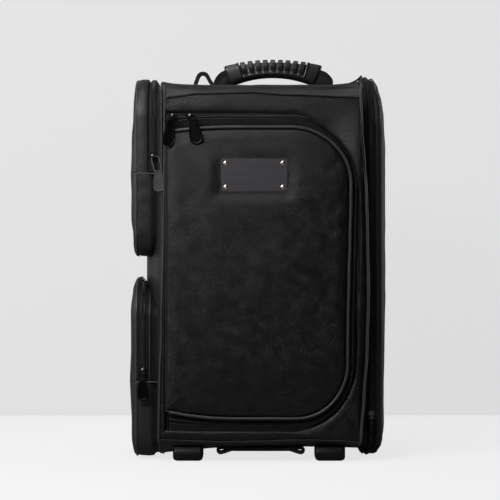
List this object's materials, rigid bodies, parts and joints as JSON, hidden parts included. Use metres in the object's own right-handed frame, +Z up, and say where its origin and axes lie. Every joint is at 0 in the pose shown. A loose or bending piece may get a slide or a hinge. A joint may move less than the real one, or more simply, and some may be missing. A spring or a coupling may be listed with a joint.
{
  "type": "rolling cosmetic case",
  "caption": "Upright padded rolling cosmetic case with a zipped front door, flank pockets, side compartment, carry handle and telescopic trolley.",
  "frame": {"origin": "middle of the case's footprint, on the floor that it stands on", "axes": "+Z up, front door towards -Y, pockets on -X, side compartment on +X, trolley and wheels at +Y"},
  "size_m": [0.38, 0.2596, 0.5965],
  "materials": {
    "saffiano": "cross-hatched faux leather, black, satin",
    "leather": "smooth pebbled faux leather, black, satin",
    "webbing": "woven nylon webbing, black",
    "zip_tape": "woven zip tape with nylon coil, black",
    "lining": "woven lining, dark grey",
    "moulded_plastic": "moulded, fine texture, black",
    "hub_plastic": "moulded, black",
    "zip_metal": "black lacquered zinc, glossy",
    "plate_metal": "brushed gunmetal",
    "rivet_metal": "polished",
    "tube_alloy": "satin anodised",
    "axle_steel": "turned",
    "tyre": "solid rubber, black"
  },
  "bodies": {
    "case": {"base_panel": "leather", "top_panel": "leather", "back_panel": "saffiano", "left_side_panel": "leather", "right_side_panel": "leather", "front_frame": "saffiano", "front_zip_outer": "zip_tape", "main_lining": "lining", "lower_shelf": "lining", "upper_shelf": "lining", "left_flank_pad": "leather", "upper_pocket_body": "leather", "upper_pocket_zip": "zip_tape", "lower_pocket_body": "leather", "lower_pocket_zip": "zip_tape", "side_compartment_body": "leather", "side_compartment_zip": "zip_tape", "trolley_cover": "lining", "trolley_outer_tubes": "tube_alloy", "trolley_bezel": "moulded_plastic", "trolley_foot_bracket": "moulded_plastic", "wheel_housing_left": "moulded_plastic", "wheel_housing_right": "moulded_plastic", "wheel_axles": "axle_steel", "front_feet": "moulded_plastic", "bottom_strap": "webbing", "shoulder_loops": "webbing", "handle_anchors": "leather"},
    "front_door": {"front_door_panel": "saffiano", "front_door_lining": "lining", "front_zip_inner": "zip_tape", "name_plate": "plate_metal", "plate_rivets": "rivet_metal"},
    "front_slider_left_body": {"front_slider_left": "zip_metal"},
    "front_slider_right_body": {"front_slider_right": "zip_metal"},
    "front_pull_left_body": {"front_pull_left": "zip_metal"},
    "front_pull_right_body": {"front_pull_right": "zip_metal"},
    "side_door": {"side_door_shell": "leather", "side_door_zip": "zip_tape"},
    "side_slider_body": {"side_slider": "zip_metal"},
    "side_pull_body": {"side_pull": "zip_metal"},
    "upper_pocket_flap": {"upper_flap": "leather", "upper_flap_zip": "zip_tape"},
    "upper_slider_body": {"upper_slider": "zip_metal"},
    "upper_pull_body": {"upper_pull": "zip_metal"},
    "lower_pocket_flap": {"lower_flap": "leather", "lower_flap_zip": "zip_tape"},
    "lower_slider_body": {"lower_slider": "zip_metal"},
    "lower_pull_body": {"lower_pull": "zip_metal"},
    "carry_handle": {"handle_straps": "webbing", "handle_grip": "moulded_plastic"},
    "trolley_stage_1": {"trolley_middle_tubes": "tube_alloy"},
    "trolley_stage_2": {"trolley_inner_tubes": "tube_alloy", "trolley_grip": "moulded_plastic"},
    "trolley_button_body": {"trolley_button": "zip_metal"},
    "wheel_left": {"wheel_tyre_left": "tyre", "wheel_hub_left": "hub_plastic"},
    "wheel_right": {"wheel_tyre_right": "tyre", "wheel_hub_right": "hub_plastic"}
  },
  "joints": [
    {"name": "front_door_hinge", "type": "hinge", "parent": "case", "child": "front_door", "pos_m": [-0.1355, -0.1195, 0.277], "axis": [0, 0, -1], "range_deg": [0, 110]},
    {"name": "front_slider_left_slide", "type": "slide", "parent": "front_door", "child": "front_slider_left_body", "axis": [1, 0, 0], "range_m": [0, 0.14]},
    {"name": "front_slider_right_slide", "type": "slide", "parent": "front_door", "child": "front_slider_right_body", "axis": [1, 0, 0], "range_m": [0, 0.14]},
    {"name": "front_pull_left_swing", "type": "hinge", "parent": "front_slider_left_body", "child": "front_pull_left_body", "pos_m": [-0.1245, -0.1268, 0.5015], "axis": [-1, 0, 0], "range_deg": [0, 150]},
    {"name": "front_pull_right_swing", "type": "hinge", "parent": "front_slider_right_body", "child": "front_pull_right_body", "pos_m": [-0.099, -0.1268, 0.5015], "axis": [-1, 0, 0], "range_deg": [0, 150]},
    {"name": "side_door_hinge", "type": "hinge", "parent": "case", "child": "side_door", "pos_m": [0.16575, 0.0933, 0.285], "axis": [0, 0, 1], "range_deg": [0, 110]},
    {"name": "side_slider_slide", "type": "slide", "parent": "case", "child": "side_slider_body", "axis": [0, 0, 1], "range_m": [0, 0.42]},
    {"name": "side_pull_swing", "type": "hinge", "parent": "side_slider_body", "child": "side_pull_body", "pos_m": [0.1655, -0.1052, 0.066], "axis": [-1, 0, 0], "range_deg": [0, 150]},
    {"name": "upper_flap_hinge", "type": "hinge", "parent": "case", "child": "upper_pocket_flap", "pos_m": [-0.19, -0.0017, 0.42], "axis": [0, -1, 0], "range_deg": [0, 90]},
    {"name": "upper_slider_slide", "type": "slide", "parent": "case", "child": "upper_slider_body", "axis": [0, 0, 1], "range_m": [0, 0.025]},
    {"name": "upper_pull_swing", "type": "hinge", "parent": "upper_slider_body", "child": "upper_pull_body", "pos_m": [-0.1545, -0.1052, 0.444], "axis": [-1, 0, 0], "range_deg": [0, 150]},
    {"name": "lower_flap_hinge", "type": "hinge", "parent": "case", "child": "lower_pocket_flap", "pos_m": [-0.19, -0.0017, 0.115], "axis": [0, -1, 0], "range_deg": [0, 90]},
    {"name": "lower_slider_slide", "type": "slide", "parent": "case", "child": "lower_slider_body", "axis": [0, 0, 1], "range_m": [0, 0.04]},
    {"name": "lower_pull_swing", "type": "hinge", "parent": "lower_slider_body", "child": "lower_pull_body", "pos_m": [-0.169, -0.1052, 0.132], "axis": [-1, 0, 0], "range_deg": [0, 150]},
    {"name": "carry_handle_swing", "type": "hinge", "parent": "case", "child": "carry_handle", "pos_m": [0.0225, -0.0017, 0.558], "axis": [1, 0, 0], "range_deg": [-38, 38], "stiffness_Nm_per_rad": 0.12},
    {"name": "trolley_lower_stage", "type": "slide", "parent": "case", "child": "trolley_stage_1", "axis": [0, 0, 1], "range_m": [0, 0.23]},
    {"name": "trolley_upper_stage", "type": "slide", "parent": "trolley_stage_1", "child": "trolley_stage_2", "axis": [0, 0, 1], "range_m": [0, 0.23]},
    {"name": "trolley_button_press", "type": "slide", "parent": "trolley_stage_2", "child": "trolley_button_body", "axis": [0, 0, -1], "range_m": [0, 0.003], "stiffness_N_per_m": 400},
    {"name": "wheel_left_spin", "type": "hinge", "parent": "case", "child": "wheel_left", "pos_m": [-0.107, 0.1058, 0.024], "axis": [1, 0, 0], "continuous": true},
    {"name": "wheel_right_spin", "type": "hinge", "parent": "case", "child": "wheel_right", "pos_m": [0.119, 0.1058, 0.024], "axis": [1, 0, 0], "continuous": true}
  ],
  "couplings": [
    {"joint": "front_slider_right_slide", "follows": "front_slider_left_slide", "ratio": 1},
    {"joint": "trolley_upper_stage", "follows": "trolley_lower_stage", "ratio": 1}
  ]
}
